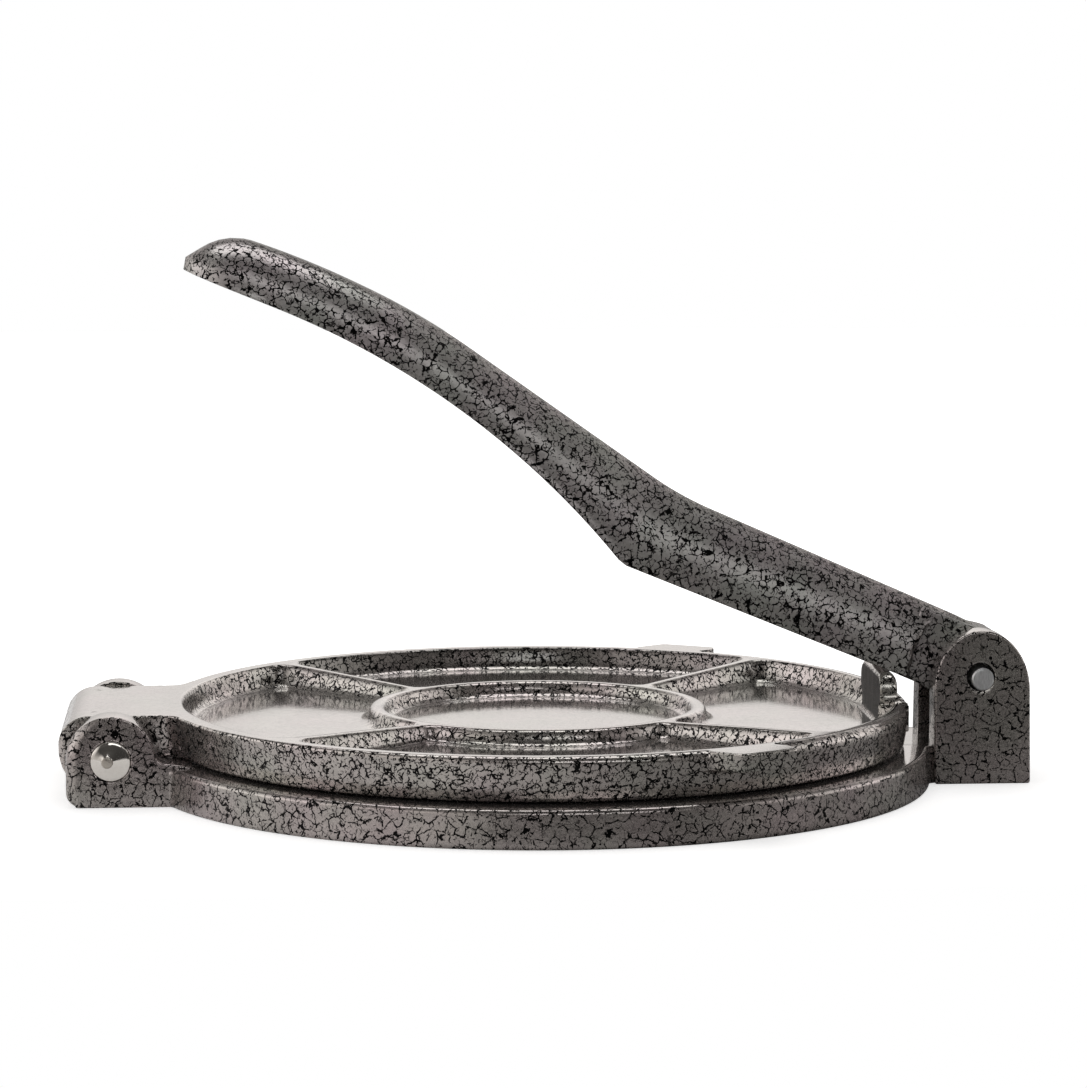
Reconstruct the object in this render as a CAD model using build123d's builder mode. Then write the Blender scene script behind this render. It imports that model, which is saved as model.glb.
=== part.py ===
from build123d import *
import os
from math import cos, radians, sin

os.makedirs("parts", exist_ok=True)

# A hand press for flattening balls of dough: a round base casting, a round top plate hinged to
# it at one side, and a handle hinged to it at the other side, whose underside bears on a raised
# saddle of the top plate. Millimetres. +X runs from the plate hinge to the handle clevis, +Y
# away from the viewer, +Z up. The origin is the centre of the base on the surface it stands on.

# Round base
base_radius = 105.4
base_height = 10.0
base_plate = 5.4            # thickness of the plate over the hollow underside
base_wall = 6.0             # width of the rim under the base
stiffener_width = 4.5       # ring and ribs under the base
stiffener_radius = 46.0     # middle of the ring under the base

# Round top plate, which lies a little above the base
top_low = 10.65
top_high = 22.2
top_low_radius = 98.0
top_high_radius = 100.6
pocket_floor = 16.0
pocket_radius = 95.3        # at the top of the rim
pocket_floor_radius = 93.4
ring_radius = 43.2          # middle of the raised ring on the plate
ring_high = 20.0

# Plate hinge
hinge_x = -113.3
hinge_z = 12.0
hinge_pin_radius = 5.2
hinge_play = 0.07           # all round the pin in the tongue
hinge_ear_radius = 11.4
hinge_ear_rise = 11.2       # from the pin's axis to the top of the ears
hinge_ear_outer = 38.0      # half the width over both ears
hinge_slot = 27.6           # half the width between the ears
tongue_half = 27.0          # half the width of the tongue

# Handle clevis
lever_x = 118.0
lever_z = 28.0
lever_pin_radius = 3.04
lever_play = 0.08           # all round the pin in the ears
clevis_radius = 12.95
clevis_spring = 24.9        # height at which the rounded top of the ears begins
clevis_high = 40.9
clevis_outer = 17.0         # half the width over both ears
clevis_slot = 8.6           # half the width between the ears

# Saddle of the top plate, under the handle
saddle_left = 90.5
saddle_thickness = 4.6
saddle_high = 29.7
saddle_half = 17.0

# Handle
handle_half = 12.5          # half the width of the grip and arm
handle_wall = 4.0
boss_half = 8.1             # half the width of the boss between the ears
boss_radius = 12.2
boss_cut = 15.5             # radius about the pin inside which the arm has only the boss

# ---------------------------------------------------------------- base casting
with BuildPart() as base:
    # two hinge ears, one at each side of the tongue of the top plate
    ear_left = hinge_x - hinge_ear_radius
    ear_right = hinge_x + hinge_ear_radius
    ear_thickness = hinge_ear_outer - hinge_slot
    ear_ledge = base_height + 0.9
    for ear_y in (-hinge_ear_outer, hinge_slot):
        with BuildSketch(Plane.XZ.offset(-ear_y)) as ear:
            with BuildLine():
                Polyline((ear_right, hinge_z), (ear_right, ear_ledge), (-97.0, ear_ledge),
                         (-95.2, base_height), (-84.0, base_height), (-84.0, 0),
                         (ear_left, 0), (ear_left, hinge_z))
                EllipticalCenterArc((hinge_x, hinge_z), hinge_ear_radius, hinge_ear_rise,
                                    start_angle=0, arc_size=180)
            make_face()
            fillet(ear.vertices().group_by(Axis.X)[0].sort_by(Axis.Y)[0], 3.6)
        extrude(amount=-ear_thickness)
    hinge_rounds = base.edges().filter_by(lambda e: abs(e.center().Y) > hinge_ear_outer - 0.1)
    hinge_rounds = hinge_rounds.filter_by(lambda e: e.center().X < ear_right - 2 and e.center().Z > 0.1)
    fillet(hinge_rounds, 1.8)

    # two clevis ears on one block at the other side
    clevis_left = lever_x - clevis_radius
    clevis_right = lever_x + clevis_radius
    with BuildSketch(Plane.XZ):
        with BuildLine():
            Polyline((clevis_left, clevis_spring), (clevis_left, 0), (clevis_right, 0),
                     (clevis_right, clevis_spring))
            EllipticalCenterArc((lever_x, clevis_spring), clevis_radius,
                                clevis_high - clevis_spring, start_angle=0, arc_size=180)
        make_face()
    extrude(amount=clevis_outer, both=True)
    clevis_rounds = base.edges().filter_by(lambda e: abs(abs(e.center().Y) - clevis_outer) < 0.1)
    fillet(clevis_rounds.filter_by(lambda e: e.center().Z > 0.1), 0.9)
    with BuildSketch(Plane.XY):
        Rectangle(clevis_left + 2, 2 * clevis_outer, align=(Align.MIN, Align.CENTER))
    extrude(amount=base_height)

    # the disc, with a small round at its foot and a larger one at its shoulder
    with BuildSketch(Plane.XZ) as disc_half:
        Rectangle(base_radius, base_height, align=(Align.MIN, Align.MIN))
        rim_corners = disc_half.vertices().group_by(Axis.X)[-1].sort_by(Axis.Y)
        fillet(rim_corners[0], 0.8)
        fillet(rim_corners[1], 1.8)
    revolve(axis=Axis.Z)

    # room for the tongue between the hinge ears
    with BuildSketch(Plane.XY):
        with Locations((-98.6, 0)):
            Rectangle(40, 2 * hinge_slot, align=(Align.MAX, Align.CENTER))
    extrude(amount=base_height + 20, mode=Mode.SUBTRACT)

    # room for the boss of the handle between the clevis ears, down to the block's top
    with BuildSketch(Plane.XY.offset(base_height)):
        with Locations((lever_x, 0)):
            Rectangle(4 * clevis_radius, 2 * clevis_slot)
    extrude(amount=40, mode=Mode.SUBTRACT)

    # hollow underside with a rim, a ring and four ribs
    with BuildSketch(Plane.XY):
        Circle(base_radius - base_wall)
        Circle(stiffener_radius + stiffener_width / 2, mode=Mode.SUBTRACT)
        Circle(stiffener_radius - stiffener_width / 2)
        with PolarLocations(stiffener_radius + 30, 4, start_angle=45):
            Rectangle(60, stiffener_width, mode=Mode.SUBTRACT)
        with Locations((-92.0, 0)):
            Rectangle(20, 2 * hinge_ear_outer, align=(Align.MAX, Align.CENTER), mode=Mode.SUBTRACT)
        with Locations((92.0, 0)):
            Rectangle(20, 2 * clevis_outer, align=(Align.MIN, Align.CENTER), mode=Mode.SUBTRACT)
    extrude(amount=base_height - base_plate, mode=Mode.SUBTRACT)

    # the hinge pin is tight in its ears, the handle pin has play in the clevis
    with Locations(Location((hinge_x, 0, hinge_z), (90, 0, 0))):
        Hole(hinge_pin_radius)
    with Locations(Location((lever_x, 0, lever_z), (90, 0, 0))):
        Hole(lever_pin_radius + lever_play)

    # widened mouths of the handle pin's holes
    for mouth_plane in (Plane.XZ.offset(clevis_outer), Plane.ZX.offset(clevis_outer)):
        with BuildSketch(mouth_plane):
            with Locations(mouth_plane.to_local_coords(Vector(lever_x, 0, lever_z))):
                Circle(lever_pin_radius + 0.6)
        extrude(amount=-0.5, taper=45, mode=Mode.SUBTRACT)

base.part.label = "base"

# ---------------------------------------------------------------- top plate
with BuildPart() as top_plate:
    # solid disc, drafted so that it is wider at the top
    with BuildSketch(Plane.XZ) as plate_half:
        with BuildLine():
            Polyline((0, top_low), (top_low_radius, top_low), (top_high_radius, top_high),
                     (0, top_high), close=True)
        make_face()
        fillet(plate_half.vertices().sort_by_distance((top_high_radius, top_high))[0], 1.6)
        fillet(plate_half.vertices().sort_by_distance((top_low_radius, top_low))[0], 0.6)
    revolve(axis=Axis.Z)

    # tongue of the hinge, with its end rolled round the pin
    with BuildSketch(Plane.XZ) as tongue:
        with BuildLine():
            Polyline((-90.0, top_low), (-90.0, top_high), (-119.2, top_high))
            ThreePointArc((-119.2, top_high), (-125.0, 19.7), (-127.3, 14.0))
            ThreePointArc((-127.3, 14.0), (-125.6, 6.8), (-119.6, 2.4))
            ThreePointArc((-119.6, 2.4), (-108.0, 2.2), (-101.6, top_low - 1.2))
            Line((-101.6, top_low - 1.2), (-99.5, top_low))
            Line((-99.5, top_low), (-90.0, top_low))
        make_face()
    extrude(amount=tongue_half, both=True)

    # the tongue widens where it meets the round plate
    with BuildSketch(Plane.XY.offset(top_low + 0.8)) as neck:
        Circle(top_low_radius + 0.6)
        with Locations((-80.0, 0)):
            Rectangle(26.0, 2 * tongue_half, align=(Align.MAX, Align.CENTER))
        meet = neck.vertices().filter_by_position(Axis.X, -97.5, -90.0)
        fillet(meet, 4.5)
    extrude(amount=top_high - top_low - 0.8)

    # pocket with drafted wall and rounded foot
    with BuildSketch(Plane.XZ) as pocket:
        with BuildLine():
            Polyline((0, pocket_floor), (pocket_floor_radius, pocket_floor),
                     (pocket_radius, top_high), (pocket_radius + 1.0, top_high + 2.0),
                     (0, top_high + 2.0), close=True)
        make_face()
        fillet(pocket.vertices().sort_by_distance((pocket_floor_radius, pocket_floor))[0], 3.0)
    revolve(axis=Axis.Z, mode=Mode.SUBTRACT)

    # raised ring on the floor of the pocket
    with BuildSketch(Plane.XZ) as ring:
        with BuildLine():
            Polyline((ring_radius - 4.0, pocket_floor - 1.0), (ring_radius + 4.0, pocket_floor - 1.0),
                     (ring_radius + 4.0, pocket_floor), (ring_radius + 2.5, ring_high),
                     (ring_radius - 2.5, ring_high), (ring_radius - 4.0, pocket_floor), close=True)
        make_face()
        fillet(ring.vertices().group_by(Axis.Y)[-1], 1.6)
    revolve(axis=Axis.Z)

    # four ribs rising from the ring to the rim
    for angle in (45, 135, 225, 315):
        out = Vector(cos(radians(angle)), sin(radians(angle)), 0)
        rib_planes = (
            Plane(origin=out * ring_radius, x_dir=(0, 0, 1), z_dir=out),
            Plane(origin=out * (top_low_radius - 1.0), x_dir=(0, 0, 1), z_dir=out),
        )
        for rib_plane, rib_top in zip(rib_planes, (ring_high, top_high)):
            with BuildSketch(rib_plane):
                with BuildLine():
                    Polyline((rib_top - 1.3, 2.0), (pocket_floor, 3.6), (pocket_floor - 1.0, 3.6),
                             (pocket_floor - 1.0, -3.6), (pocket_floor, -3.6), (rib_top - 1.3, -2.0))
                    ThreePointArc((rib_top - 1.3, -2.0), (rib_top, 0), (rib_top - 1.3, 2.0))
                make_face()
        loft()

    # saddle on the rim under the handle
    saddle_right = saddle_left + saddle_thickness
    with BuildSketch(Plane.XZ) as saddle:
        with BuildLine():
            Polyline((saddle_left, saddle_high - 2.3), (saddle_left - 0.4, pocket_floor - 1.0),
                     (97.4, pocket_floor - 1.0), (97.8, top_high), (saddle_right + 0.6, 25.0),
                     (saddle_right, saddle_high - 2.3))
            ThreePointArc((saddle_right, saddle_high - 2.3),
                          ((saddle_left + saddle_right) / 2, saddle_high),
                          (saddle_left, saddle_high - 2.3))
        make_face()
    extrude(amount=saddle_half, both=True)

    # two lugs on the rim, the near one and its mirror image
    for lug_side in (-1, 1):
        with BuildSketch(Plane.XY.offset(17.2)):
            with BuildLine():
                Polyline((34.0, 92.0 * lug_side), (44.2, 99.6 * lug_side), (58.7, 91.2 * lug_side),
                         (55.0, 80.5 * lug_side), (52.0, 82.0 * lug_side), close=True)
            make_face()
        extrude(amount=top_high - 17.2)

    with Locations(Location((hinge_x, 0, hinge_z), (90, 0, 0))):
        Hole(hinge_pin_radius + hinge_play)

top_plate.part.label = "top_plate"

# ---------------------------------------------------------------- handle
with BuildPart() as lever:
    # side view: along the crown from the boss to the tip, and back along the underside
    with BuildSketch(Plane.XZ) as side_view:
        with BuildLine():
            Polyline((lever_x + 5.0, lever_z + 10.9), (38.4, 76.2), (-31.3, 125.5), (-61.0, 139.9),
                     (-82.0, 147.2), (-93.4, 140.6), (-93.9, 137.4), (-16.7, 106.2), (21.7, 59.2),
                     (100.5, 27.0), (lever_x, lever_z), close=True)
        make_face()
        for corner, corner_round in (((38.4, 76.2), 90), ((-31.3, 125.5), 190),
                                     ((-61.0, 139.9), 190), ((-82.0, 147.2), 15),
                                     ((-16.7, 106.2), 225)):
            fillet(side_view.vertices().sort_by_distance(corner)[0], corner_round)
    extrude(amount=handle_half, both=True)

    # crowned back: every long side edge above a line between the back and the underside
    crown = lever.edges().filter_by(lambda e: e.center().Z + 0.5 * e.center().X > 93.5)
    fillet(crown.filter_by(lambda e: abs(e.center().Y) > handle_half - 0.1), 8.0)

    # the tip is round in plan
    with BuildSketch(Plane.XY):
        with Locations((handle_half - 93.9, 0)):
            Circle(handle_half)
            Rectangle(300, 2 * handle_half, align=(Align.MIN, Align.CENTER))
    extrude(amount=200, mode=Mode.INTERSECT)

    # channel along the underside, its roof parallel to the back
    with BuildSketch(Plane.XZ) as channel:
        with BuildLine():
            Polyline((98.0, 46.0), (36.5, 72.6), (-31.5, 120.6), (-63.0, 136.4), (-86.0, 143.0),
                     (-86.0, 125.0), (-21.8, 95.0), (22.6, 45.0), (98.0, 20.0), close=True)
        make_face()
        for corner, corner_round in (((36.5, 72.6), 88), ((-31.5, 120.6), 215), ((-63.0, 136.4), 160)):
            fillet(channel.vertices().sort_by_distance(corner)[0], corner_round)
    extrude(amount=handle_half - handle_wall, both=True, mode=Mode.SUBTRACT)

    # the arm narrows to a boss that fits between the clevis ears
    with BuildSketch(Plane.XZ):
        with Locations((lever_x, lever_z)):
            Circle(boss_cut)
    extrude(amount=handle_half + 1, both=True, mode=Mode.SUBTRACT)
    with BuildSketch(Plane.XZ):
        with Locations((lever_x, lever_z)):
            Circle(boss_radius)
        with BuildLine():
            Polyline((lever_x + 4.6, lever_z + 11.0), (94.0, 51.4), (94.0, 29.8), (104.6, 25.5),
                     (lever_x - 2.0, lever_z - 11.0), (lever_x + 4.6, lever_z + 11.0))
        make_face()
    extrude(amount=boss_half, both=True)
    with Locations(Location((lever_x, 0, lever_z), (90, 0, 0))):
        Hole(lever_pin_radius)

lever.part.label = "lever"

# ---------------------------------------------------------------- pins
# turned pin of the plate hinge: its ends are flat cones with a small nub in the middle
with BuildPart() as hinge_pin:
    with BuildSketch(Plane.XZ) as pin_half:
        pin_end = hinge_ear_outer + 0.3
        with BuildLine():
            Polyline((0, -pin_end - 0.9), (1.3, -pin_end - 0.9), (hinge_pin_radius, -pin_end),
                     (hinge_pin_radius, pin_end), (1.3, pin_end + 0.9), (0, pin_end + 0.9),
                     close=True)
        make_face()
    revolve(axis=Axis.Z)
hinge_pin.part = hinge_pin.part.rotate(Axis.X, 90).moved(Location((hinge_x, 0, hinge_z)))
hinge_pin.part.label = "hinge_pin"

# pin of the handle, tight in the boss and with play in the ears; its near end is sheared flat
# at one side
with BuildPart() as lever_pin:
    with BuildSketch(Plane.XZ.offset(clevis_outer + 0.9)):
        Circle(lever_pin_radius)
    extrude(amount=-2 * clevis_outer - 1.4)
    pin_ends = lever_pin.edges().filter_by(GeomType.CIRCLE).sort_by(Axis.Y)
    chamfer(pin_ends[0], 0.35)
    chamfer(pin_ends[-1], 0.5)
    with BuildSketch(Plane.XY.offset(lever_pin_radius - 1.1)):
        with Locations((0, -clevis_outer - 0.9)):
            Rectangle(10, 0.7, align=(Align.CENTER, Align.MIN))
    extrude(amount=5, mode=Mode.SUBTRACT)
lever_pin.part = lever_pin.part.rotate(Axis.Y, 45).moved(Location((lever_x, 0, lever_z)))
lever_pin.part.label = "lever_pin"

for piece in (base, top_plate, lever, hinge_pin, lever_pin):
    print(piece.part.label, round(piece.part.volume), piece.part.is_valid, len(piece.solids()))
    export_step(piece.part, "parts/" + piece.part.label + ".step")
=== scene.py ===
from math import atan, cos, pi, radians, sin, tan

import bpy
import numpy as np
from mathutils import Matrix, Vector


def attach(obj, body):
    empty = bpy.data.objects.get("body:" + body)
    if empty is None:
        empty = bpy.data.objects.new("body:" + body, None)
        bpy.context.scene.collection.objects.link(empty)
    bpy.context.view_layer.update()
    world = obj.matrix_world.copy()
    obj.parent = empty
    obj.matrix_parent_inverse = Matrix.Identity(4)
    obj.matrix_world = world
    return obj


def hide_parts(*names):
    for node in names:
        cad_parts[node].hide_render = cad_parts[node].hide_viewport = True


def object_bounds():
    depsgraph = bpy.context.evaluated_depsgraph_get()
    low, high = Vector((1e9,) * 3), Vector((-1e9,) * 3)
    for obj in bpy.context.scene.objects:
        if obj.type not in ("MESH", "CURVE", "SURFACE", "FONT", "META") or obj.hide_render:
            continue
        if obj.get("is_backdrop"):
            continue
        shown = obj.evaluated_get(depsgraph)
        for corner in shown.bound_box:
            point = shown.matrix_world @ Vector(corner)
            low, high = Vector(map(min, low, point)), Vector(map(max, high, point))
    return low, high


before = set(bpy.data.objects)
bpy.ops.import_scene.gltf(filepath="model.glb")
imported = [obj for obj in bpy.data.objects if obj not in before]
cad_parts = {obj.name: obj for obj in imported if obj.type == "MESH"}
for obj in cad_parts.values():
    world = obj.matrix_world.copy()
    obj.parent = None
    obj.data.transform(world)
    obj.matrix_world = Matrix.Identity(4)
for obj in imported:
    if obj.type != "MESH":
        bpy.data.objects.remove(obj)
cad_box = [list(corner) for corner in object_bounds()]

# ---------------------------------------------------------------- base
# The lower half of the press: a round iron plate, hollow underneath with a rim, a ring and four
# ribs, cast in one with the two hinge ears at the left and the forked clevis at the right. It is
# sprayed all over with a hammered silver-and-black coating.


def arc(before, at_corner, after, radius, step=None):
    """Arc of the given radius that touches both straight runs of a corner, with points about step
    apart, or 24 in all."""
    a = (before - at_corner) / np.linalg.norm(before - at_corner)
    b = (after - at_corner) / np.linalg.norm(after - at_corner)
    half = np.arccos(np.clip(a @ b, -1, 1)) / 2
    middle = at_corner + (a + b) / np.linalg.norm(a + b) * radius / sin(half)
    start, end = at_corner + a * radius / tan(half) - middle, at_corner + b * radius / tan(half) - middle
    turn = pi - 2 * half
    count = max(3, int(turn * radius / step * 1.6) + 3, int(turn / 0.17) + 1) if step else 24
    share = np.linspace(0, 1, count)[:, None]
    return middle + (start * np.sin((1 - share) * turn) + end * np.sin(share * turn)) / sin(turn)


def rounded(corners, radii, step):
    """Closed outline through corners, each cut by an arc, with points at most step apart on the
    straight runs."""
    corners = np.array(corners, float)
    before, after = np.roll(corners, 1, 0), np.roll(corners, -1, 0)
    arcs = [arc(*place, step) for place in zip(before, corners, after, radii)]
    points = []
    for bend, following in zip(arcs, arcs[1:] + arcs[:1]):
        run = following[0] - bend[-1]
        count = int(np.linalg.norm(run) / step)
        points += [bend, bend[-1] + run * (np.arange(1, count + 1) / (count + 1))[:, None]]
    points = np.concatenate(points)
    return points[np.linalg.norm(points - np.roll(points, 1, 0), axis=1) > 1e-3]


def outward(points):
    """Unit normals that point out of a closed outline that goes anticlockwise."""
    along = np.roll(points, -1, 0) - np.roll(points, 1, 0)
    return np.stack([along[:, 1], -along[:, 0]], 1) / np.linalg.norm(along, axis=1)[:, None]


def casting(name, skins, material):
    """One object from closed skins. A skin is a grid of points in millimetres, grid[row, column]:
    columns go round the piece, and each end row is shut by a point at its middle, unless the rows
    too come back to the first."""
    points, faces, count = [], [], 0
    for grid, ring in skins:
        rows, columns = grid.shape[:2]
        i, j = np.meshgrid(np.arange(rows if ring else rows - 1), np.arange(columns), indexing="ij")
        near, far, right = i * columns, (i + 1) % rows * columns, (j + 1) % columns
        quads = np.stack([near + j, near + right, far + right, far + j], -1).reshape(-1, 4)
        flat = grid.reshape(-1, 3)
        a, b, c = flat[quads[:, 0]], flat[quads[:, 1]], flat[quads[:, 2]]
        d = flat[quads[:, 3]]
        volume = (a * np.cross(b, c)).sum() + (a * np.cross(c, d)).sum()
        triangles = np.zeros((0, 3), int)
        if not ring:
            flat = np.concatenate([flat, grid[:1].mean(1), grid[-1:].mean(1)])
            j = np.arange(columns)
            k = (j + 1) % columns
            first, last = np.full(columns, rows * columns), np.full(columns, rows * columns + 1)
            base = (rows - 1) * columns
            triangles = np.concatenate([np.stack([k, j, first], 1), np.stack([base + j, base + k, last], 1)])
        if volume < 0:
            quads, triangles = quads[:, ::-1], triangles[:, ::-1]
        points.append(flat)
        faces += (quads + count).tolist() + (triangles + count).tolist()
        count += len(flat)
    mesh = bpy.data.meshes.new(name)
    mesh.from_pydata((np.concatenate(points) / 1000).tolist(), [], faces)
    mesh.polygons.foreach_set("use_smooth", [True] * len(mesh.polygons))
    mesh.set_sharp_from_angle(angle=radians(38))
    mesh.materials.append(material)
    piece = bpy.data.objects.new(name, mesh)
    bpy.context.scene.collection.objects.link(piece)
    return piece


def wall(inside, high, low, crest, foot, slope=0.31):
    """Height at a distance inside a drafted wall: level at high, an arc of radius crest, a slope that
    goes in by slope for each millimetre down, an arc of radius foot, level at low."""
    turn = atan(1 / slope)
    crest_reach, foot_reach = crest * tan(turn / 2), foot * tan(turn / 2)
    bottom = slope * (high - low)
    over = high - crest + np.sqrt(np.maximum(crest**2 - (inside + crest_reach) ** 2, 0))
    under = low + foot - np.sqrt(np.maximum(foot**2 - (inside - bottom - foot_reach) ** 2, 0))
    return np.select(
        [inside <= -crest_reach, inside <= crest * sin(turn) - crest_reach,
         inside <= bottom + foot_reach - foot * sin(turn), inside <= bottom + foot_reach],
        [high + 0 * inside, over, high - inside / slope, under], low + 0 * inside)


def corner(a, b, radius):
    """Distance inside two walls at once, with the corner between them rounded to radius in plan."""
    rest = np.hypot(np.maximum(radius - a, 0), np.maximum(radius - b, 0))
    return np.maximum(radius, np.minimum(a, b)) - rest


def spokes(radii, marks, beside=8.0):
    """Angle of every column at every radius. Columns near one of the four ribs run beside it at a
    fixed distance; the others share what is left of the quarter, as marks (degrees at radius 95)
    asks. The quarters start at -45 degrees."""
    offsets = np.array([0.8, 1.4, 1.85, 2.3, 2.75, 3.2, 3.7, 4.3, 5.1, 6.3, beside])
    offsets = np.concatenate([-offsets[::-1], [0], offsets])
    near = np.arcsin(offsets / np.maximum(np.asarray(radii, float), 40.0)[:, None])
    edge = np.arcsin(beside / 95.0)
    angles = []
    for quarter in range(4):
        rib = radians(90 * quarter - 45)
        wanted = np.radians(np.sort(marks)) - rib
        share = (wanted - edge) / (pi / 2 - 2 * edge)
        share = share[(share > 0.006) & (share < 0.994)]
        start = near[:, -1:]
        angles += [rib + near, rib + start + (pi / 2 - 2 * start) * share]
    return np.concatenate(angles, 1)


def slab(outline, near, far, near_round, far_round, middle, bore, mouth):
    """A plate that stands in the XZ plane between y = near and y = far, bored through at middle, or
    whole where bore is 0. Its rows go from the bore over the near face, round the edge and back over
    the far face; at an edge the outline is drawn in by r - r cos(a) while y moves by r - r sin(a)."""
    normals = outward(outline)
    angle = np.arctan2(outline[:, 1] - middle[1], outline[:, 0] - middle[0])
    ray = np.stack([np.cos(angle), np.sin(angle)], 1)
    rows = []
    for side, edge, sign in ((near, near_round, 1), (far, far_round, -1)):
        edge = np.broadcast_to(edge, len(outline))
        face = outline - normals * edge[:, None]
        lip = ((bore, mouth * 2.5), (bore, mouth), (bore + mouth * 0.3, mouth * 0.3), (bore + mouth, 0))
        part = [(middle + ray * radius, side + sign * depth) for radius, depth in lip if bore]
        for share in (0.04, 0.2, 0.45, 0.7, 0.9, 0.985):
            part.append(((middle + ray * (bore + mouth)) * (1 - share) + face * share, side))
        for a in np.radians([0, 12, 25, 40, 55, 70, 80, 90]):
            drawn_in, aside = edge * (1 - sin(a)), edge * (1 - cos(a))
            part.append((outline - normals * drawn_in[:, None], side + sign * aside))
        for points, y in part[::sign]:
            rows.append(np.stack([points[:, 0], np.broadcast_to(y, len(points)), points[:, 1]], 1))
    return np.array(rows)


# The coating: a grey hammered skin torn into small islands by fine black veins that branch and
# break off. One node group serves both castings and the handle, each with its own values.
def wire(tree, kind, inputs=(), **settings):
    """Adds a node and fills its inputs, each from another node's output or with a plain value."""
    node = tree.nodes.new("ShaderNode" + kind)
    for key, value in settings.items():
        setattr(node, key, value)
    for key, value in dict(inputs).items():
        if isinstance(value, bpy.types.NodeSocket):
            tree.links.new(value, node.inputs[key])
        else:
            node.inputs[key].default_value = value
    return node


def maths(tree, operation, a, b=0.0):
    return wire(tree, "Math", {0: a, 1: b}, operation=operation).outputs[0]


def stretch(tree, value, low, high, to_low=0.0, to_high=1.0):
    sizes = {"Value": value, "From Min": low, "From Max": high, "To Min": to_low, "To Max": to_high}
    return wire(tree, "MapRange", sizes).outputs[0]


def vectors(tree, operation, a, b=(0, 0, 0)):
    return wire(tree, "VectorMath", {0: a, 1: b}, operation=operation).outputs[0]


def scaled(tree, vector, by):
    return wire(tree, "VectorMath", {0: vector, "Scale": by}, operation="SCALE").outputs[0]


def mixed(tree, share, first, second):
    return wire(tree, "MixRGB", {"Fac": share, "Color1": first, "Color2": second}).outputs[0]


veined = bpy.data.node_groups.new("hammered veins", "ShaderNodeTree")
for name, kind, value in (("Vector", "Vector", (0, 0, 0)), ("Island Size", "Float", 430.0),
                          ("Vein Width", "Float", 0.1), ("Fine Veins", "Float", 1.0),
                          ("Painted Sheen", "Float", 0.0), ("Island Colour", "Color", (0.2, 0.2, 0.2, 1)),
                          ("Vein Colour", "Color", (0.01, 0.01, 0.01, 1))):
    socket = veined.interface.new_socket(name, in_out="INPUT", socket_type="NodeSocket" + kind)
    socket.default_value = value
for name, kind in (("Colour", "Color"), ("Roughness", "Float"), ("Metallic", "Float"), ("Coat", "Float"),
                   ("Height", "Float")):
    veined.interface.new_socket(name, in_out="OUTPUT", socket_type="NodeSocket" + kind)
given, made = veined.nodes.new("NodeGroupInput"), veined.nodes.new("NodeGroupOutput")
at = given.outputs["Vector"]


def noise(tree, vector, scale, detail=2.0, output="Fac"):
    values = {"Vector": vector, "Scale": scale, "Detail": detail, "Roughness": 0.6}
    return wire(tree, "TexNoise", values).outputs[output]


def pushed(tree, vector, scale, reach):
    """The vector moved by up to half of reach in every direction, by a noise of its own."""
    push = vectors(tree, "SUBTRACT", noise(tree, at, scale, 2.0, "Color"), (0.5, 0.5, 0.5))
    return vectors(tree, "ADD", vector, scaled(tree, push, reach))


# the veins run between the cells of a pattern whose lookup is pushed about, so that they wander;
# noises say where a vein is wide, thin or missing
bent = pushed(veined, pushed(veined, at, 480.0, 0.0013), 1500.0, 0.0005)
jagged = maths(veined, "MULTIPLY", maths(veined, "SUBTRACT", noise(veined, at, 2400.0, 1.0), 0.5), 0.045)
cuts = []
wide_cuts, fine_cuts = (1.0, 620.0, 0.4, 0.52, -0.25, 1.0), (1.9, 700.0, 0.46, 0.58, -0.4, 1.1)
for size, gate_scale, gate_low, gate_high, least, width in (wide_cuts, fine_cuts):
    cell = {"Vector": bent, "Scale": maths(veined, "MULTIPLY", given.outputs["Island Size"], size)}
    gap = wire(veined, "TexVoronoi", cell, feature="DISTANCE_TO_EDGE").outputs["Distance"]
    gap = maths(veined, "ADD", gap, maths(veined, "MULTIPLY", jagged, size**0.5))
    gate = stretch(veined, noise(veined, at, gate_scale), gate_low, gate_high, least, 1.0)
    limit = maths(veined, "MULTIPLY", maths(veined, "MULTIPLY", gate, width), given.outputs["Vein Width"])
    cuts.append(stretch(veined, maths(veined, "SUBTRACT", limit, gap), -0.004 * size, 0.006 * size))
veins = maths(veined, "MAXIMUM", cuts[0], maths(veined, "MULTIPLY", cuts[1], given.outputs["Fine Veins"]))
# painted sheen: where a face is seen at a grazing angle, the veins fade to a tenth
veins = maths(veined, "MULTIPLY", veins, stretch(veined, given.outputs["Painted Sheen"], 0.0, 1.0, 1.0, 0.1))

# the islands are mottled and differ in tone and tint from place to place
mottle = noise(veined, at, 1900.0, 3.0)
patch = noise(veined, at, 70.0)
tint = stretch(veined, noise(veined, at, 45.0), 0.35, 0.65)
tint = mixed(veined, tint, (0.96, 1.0, 0.95, 1), (1.04, 0.98, 1.0, 1))
tone = maths(veined, "ADD", maths(veined, "MULTIPLY", mottle, 1.4), patch)
island = scaled(veined, given.outputs["Island Colour"], stretch(veined, tone, 0.8, 1.6, 0.78, 1.22))
island = vectors(veined, "MULTIPLY", island, tint)
veined.links.new(mixed(veined, veins, island, given.outputs["Vein Colour"]), made.inputs["Colour"])
veined.links.new(stretch(veined, mottle, 0.3, 0.7, 0.2, 0.32), made.inputs["Roughness"])
veined.links.new(stretch(veined, veins, 0.0, 1.0, 0.85, 0.0), made.inputs["Metallic"])
veined.links.new(stretch(veined, veins, 0.0, 1.0, 1.0, 0.0), made.inputs["Coat"])
swell = maths(veined, "MULTIPLY", noise(veined, at, 300.0), 0.5)
height = maths(veined, "ADD", maths(veined, "MULTIPLY", veins, -0.3), swell)
ripple = maths(veined, "MULTIPLY", noise(veined, at, 800.0, 1.0), 0.2)
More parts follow.
